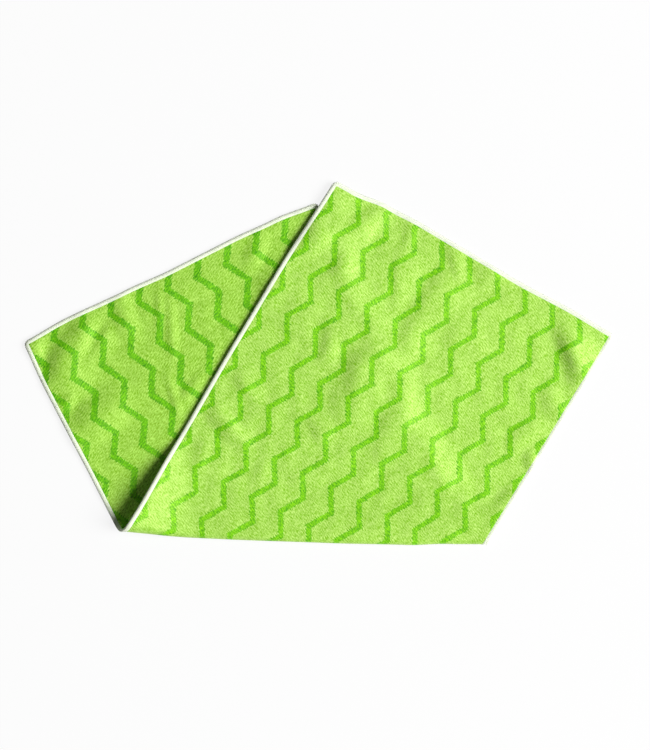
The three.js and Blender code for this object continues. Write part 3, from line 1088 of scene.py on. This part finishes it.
# %% Give the lines their width and their stepped edges
LINE_HALF_WIDTH = {"face": 3.6, "reverse": 3.1}  # measured across the cloth
LINE_SOFT = 0.4  # half the width over which a line's edge fades
LINE_STEP = 0.3  # how far the ribs push a line's edge to and fro
LINE_FRAY = 4.0  # how far the flecks push it, from the darkest to the palest fleck

frayed = distance
for push, reach in ((rib_wave, LINE_STEP), (fleck, LINE_FRAY)):
    frayed = add_node(
        knit, "ShaderNodeMath", {0: push, 1: reach, 2: frayed}, operation="MULTIPLY_ADD"
    ).outputs[0]
full_line = add_node(
    knit,
    "ShaderNodeMix",
    {
        "Factor": reverse,
        "A": LINE_HALF_WIDTH["face"] - LINE_SOFT,
        "B": LINE_HALF_WIDTH["reverse"] - LINE_SOFT,
    },
).outputs["Result"]
line_end = add_node(
    knit, "ShaderNodeMath", {0: full_line, 1: 2 * LINE_SOFT}, operation="ADD"
).outputs[0]
in_line = add_node(
    knit,
    "ShaderNodeMapRange",
    {"Value": frayed, "From Min": full_line, "From Max": line_end, "To Min": 1.0, "To Max": 0.0},
    interpolation_type="SMOOTHSTEP",
).outputs[0]
print("the lines are", 2 * LINE_HALF_WIDTH["face"], "mm wide, measured across the cloth")

# %% [markdown]
# ## The finish of the cloth
#
# Polyester bends light a little more than glass does, with an index of about 1.6, and thousands
# of split ends scatter it, so the cloth is matt with a soft gloss on its lit side. That gloss
# comes back through the dyed fibres, so it is tinted. A faint sheen stands for the fuzz, and a
# bump for the loops.

# %% Dye the yarns
# A dark and a pale shade for each part of the knit. The mix between them is the yarn's own
# unevenness, and it is painted shade where it follows the loops' relief.
GROUND = {"face": ("#80c40a", "#c6fc6e"), "reverse": ("#85cc0c", "#d0ff80")}
LINES = {"face": ("#3a9e00", "#86e602"), "reverse": ("#46aa00", "#9af604")}


def yarn_pair(shades):
    """The dark and pale shade of one part of the knit, mixed by the tone, on either side. The tone
    holds painted shade between the loops as well as the yarn's unevenness.
    """
    both = []
    for side in ("face", "reverse"):
        dark, pale = (linear(shade) for shade in shades[side])
        mixed = add_node(
            knit, "ShaderNodeMix", {"Factor": tone, "A": dark, "B": pale}, data_type="RGBA"
        )
        both.append(mixed.outputs["Result"])
    face, back = both
    return add_node(
        knit, "ShaderNodeMix", {"Factor": reverse, "A": face, "B": back}, data_type="RGBA"
    ).outputs["Result"]


ground, lines = yarn_pair(GROUND), yarn_pair(LINES)
coloured = add_node(
    knit, "ShaderNodeMix", {"Factor": in_line, "A": ground, "B": lines}, data_type="RGBA"
).outputs["Result"]
print("palest yarn, in linear: %.2f, %.2f, %.2f" % linear(GROUND["reverse"][1])[:3])

# %% Make it a soft cloth
KNIT_DEPTH = 0.12  # of the ribs in mm
FLECK_DEPTH = 1.6  # of the flecks, as a share of the ribs' depth

loops_height = add_node(
    knit, "ShaderNodeMath", {0: fleck, 1: FLECK_DEPTH, 2: loops_wave}, operation="MULTIPLY_ADD"
).outputs[0]
relief = add_node(
    knit, "ShaderNodeBump", {"Strength": 0.3, "Distance": KNIT_DEPTH * MM, "Height": loops_height}
).outputs[0]
soft_cloth = add_node(
    knit,
    "ShaderNodeBsdfPrincipled",
    {
        "Base Color": coloured,
        "Roughness": 0.5,
        "IOR": 1.6,
        "Specular IOR Level": 0.8,
        "Specular Tint": linear("#ffffb0"),
        "Sheen Weight": 0.1,
        "Sheen Roughness": 0.5,
        "Sheen Tint": linear("#e8ff90"),
        "Normal": relief,
    },
)
add_node(knit, "ShaderNodeOutputMaterial", {"Surface": soft_cloth.outputs[0]})
cloth.data.materials.append(microfibre)
print("knit material:", len(knit.nodes), "nodes")

# %% [markdown]
# ## The overlock yarn
#
# Textured white polyester, a little bulky so that it covers the edge. It is quite matt, and uneven
# where its fibres have fluffed up. Its white is tinted green: painted green light, thrown back on
# to it from the cloth beside it. Noise gives both the unevenness and the fluff.

# %% Make the yarn material
FLUFF_PER_MM = 0.9  # soft tufts to a millimetre of thread
FLUFF_DEPTH = 0.1

spun = yarn.node_tree
where = add_node(spun, "ShaderNodeTexCoord").outputs["Object"]
fluff = add_node(
    spun,
    "ShaderNodeTexNoise",
    {"Vector": where, "Scale": FLUFF_PER_MM / MM, "Detail": 3.0, "Roughness": 0.6},
).outputs[0]
# Both shades are white tinted green, as painted green light thrown back from the cloth. The fluff
# chooses between them.
yarn_white_with_painted_green_bounce = add_node(
    spun,
    "ShaderNodeMix",
    {"Factor": fluff, "A": linear("#ecf8da"), "B": linear("#faffec")},
    data_type="RGBA",
).outputs["Result"]
yarn_relief = add_node(
    spun, "ShaderNodeBump", {"Strength": 0.4, "Distance": FLUFF_DEPTH * MM, "Height": fluff}
).outputs[0]
spun_yarn = add_node(
    spun,
    "ShaderNodeBsdfPrincipled",
    {
        "Base Color": yarn_white_with_painted_green_bounce,
        "Roughness": 0.8,
        "IOR": 1.5,
        "Specular IOR Level": 0.3,
        "Sheen Weight": 0.1,
        "Sheen Roughness": 0.5,
        "Normal": yarn_relief,
    },
)
add_node(spun, "ShaderNodeOutputMaterial", {"Surface": spun_yarn.outputs[0]})
edging_roll.data.materials.append(yarn)
print("yarn material:", len(spun.nodes), "nodes")

# %% [markdown]
# ## Ride on the frame, in place of its solids
#
# The sheet stands for the plain solid of the cloth, and the roll for the plain solid of the
# edging. The stitches are an extra piece, with no solid of their own. All three ride on the one
# body, because nothing hard is fastened to a cloth.

# %% Ride and replace
pieces = (cloth, edging_roll, overlock_stitches)
for piece in pieces:
    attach(piece, "root")
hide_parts("cloth_panel")
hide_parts("edging")
print("pieces on the root body:", ", ".join(piece.name for piece in pieces))

# %% [markdown]
# ## The table, the light and the camera
#
# The cloth lies on a plain white ground and is looked at from straight above. The ground is drawn
# a little brighter to the eye than it is as a thing that throws light back, so it stays white but
# keeps the shadow. The main light comes from the right, low enough to draw each ridge with a dark
# left side. It is a round lamp 4.5 m wide and 7 m away, as soft as a window, and the sky fills in
# a little.

# %% Lay the ground
GROUND_HALF = 2.0
GROUND_LEVEL = -0.2 * MM  # just under the lowest stitch
GROUND_VEIL = 0.86  # share of plain white over the lit ground, to the eye alone

ground_mesh = bpy.data.meshes.new("ground")
ground_corners = [(-1, -1), (1, -1), (1, 1), (-1, 1)]
ground_mesh.from_pydata(
    [(x * GROUND_HALF, y * GROUND_HALF, GROUND_LEVEL) for x, y in ground_corners],
    [],
    [(0, 1, 2, 3)],
)
ground_sheet = in_scene("ground", ground_mesh)

white_ground = empty_material("white_ground")
paint = white_ground.node_tree
seen = add_node(paint, "ShaderNodeLightPath").outputs["Is Camera Ray"]
matt = add_node(paint, "ShaderNodeBsdfDiffuse", {"Color": linear("#f3f3f3")})
glow = add_node(paint, "ShaderNodeEmission", {"Color": linear("#ffffff"), "Strength": 1.0})
veil = add_node(paint, "ShaderNodeMath", {0: seen, 1: GROUND_VEIL}, operation="MULTIPLY").outputs[0]
veiled = add_node(paint, "ShaderNodeMixShader", {0: veil, 1: matt.outputs[0], 2: glow.outputs[0]})
add_node(paint, "ShaderNodeOutputMaterial", {"Surface": veiled.outputs[0]})
ground_sheet.data.materials.append(white_ground)
print("ground:", 2 * GROUND_HALF, "m wide")

# %% Light it
KEY_ELEVATION = math.radians(36)
KEY_AZIMUTH = math.radians(-8)
KEY_SPREAD = math.radians(36)  # how wide the lamp looks from the cloth
KEY_DISTANCE = 7.0
KEY_LEVEL = 1.0  # by a level of 1, a level surface shows its colour as it is written
FILL_LEVEL = 0.07

key = bpy.data.lights.new("key", "AREA")
key.shape = "DISK"
key.size = 2 * KEY_DISTANCE * math.tan(KEY_SPREAD / 2)
key.energy = (math.pi * KEY_DISTANCE) ** 2 * KEY_LEVEL / math.sin(KEY_ELEVATION)
key_lamp = in_scene("key", key)
towards = Vector(
    (
        math.cos(KEY_ELEVATION) * math.cos(KEY_AZIMUTH),
        math.cos(KEY_ELEVATION) * math.sin(KEY_AZIMUTH),
        math.sin(KEY_ELEVATION),
    )
)
key_lamp.location = towards * KEY_DISTANCE
key_lamp.rotation_euler = (-towards).to_track_quat("-Z", "Y").to_euler()
print("key lamp: %.1f m wide, %.0f W" % (key.size, key.energy))

world = bpy.data.worlds.new("studio")
bpy.context.scene.world = world
world.use_nodes = True
sky = world.node_tree
sky.nodes.clear()
looked_at = add_node(sky, "ShaderNodeLightPath").outputs["Is Camera Ray"]
strength = add_node(
    sky, "ShaderNodeMapRange", {"Value": looked_at, "To Min": FILL_LEVEL, "To Max": 1.0}
).outputs[0]
air = add_node(sky, "ShaderNodeBackground", {"Color": linear("#ffffff"), "Strength": strength})
add_node(sky, "ShaderNodeOutputWorld", {"Surface": air.outputs[0]})
print("sky: %.2f of the lamp's light, and plain white to the eye" % FILL_LEVEL)

# %% Look at it from straight above
VIEW_CENTRE = (6.1 * MM, -11.0 * MM)
VIEW_LONG_SIDE = 708.0 * MM  # what the longer side of the picture takes in on the table
VIEW_HEIGHT = 3.0

camera = bpy.data.cameras.new("camera")
camera.sensor_width = 36.0
camera.lens = camera.sensor_width * VIEW_HEIGHT / VIEW_LONG_SIDE
camera.clip_start, camera.clip_end = 0.1, 20.0
eye = in_scene("camera", camera)
eye.location = (*VIEW_CENTRE, VIEW_HEIGHT)
bpy.context.scene.camera = eye
bpy.context.scene.view_settings.view_transform = "Standard"
print("lens: %.0f mm" % camera.lens)
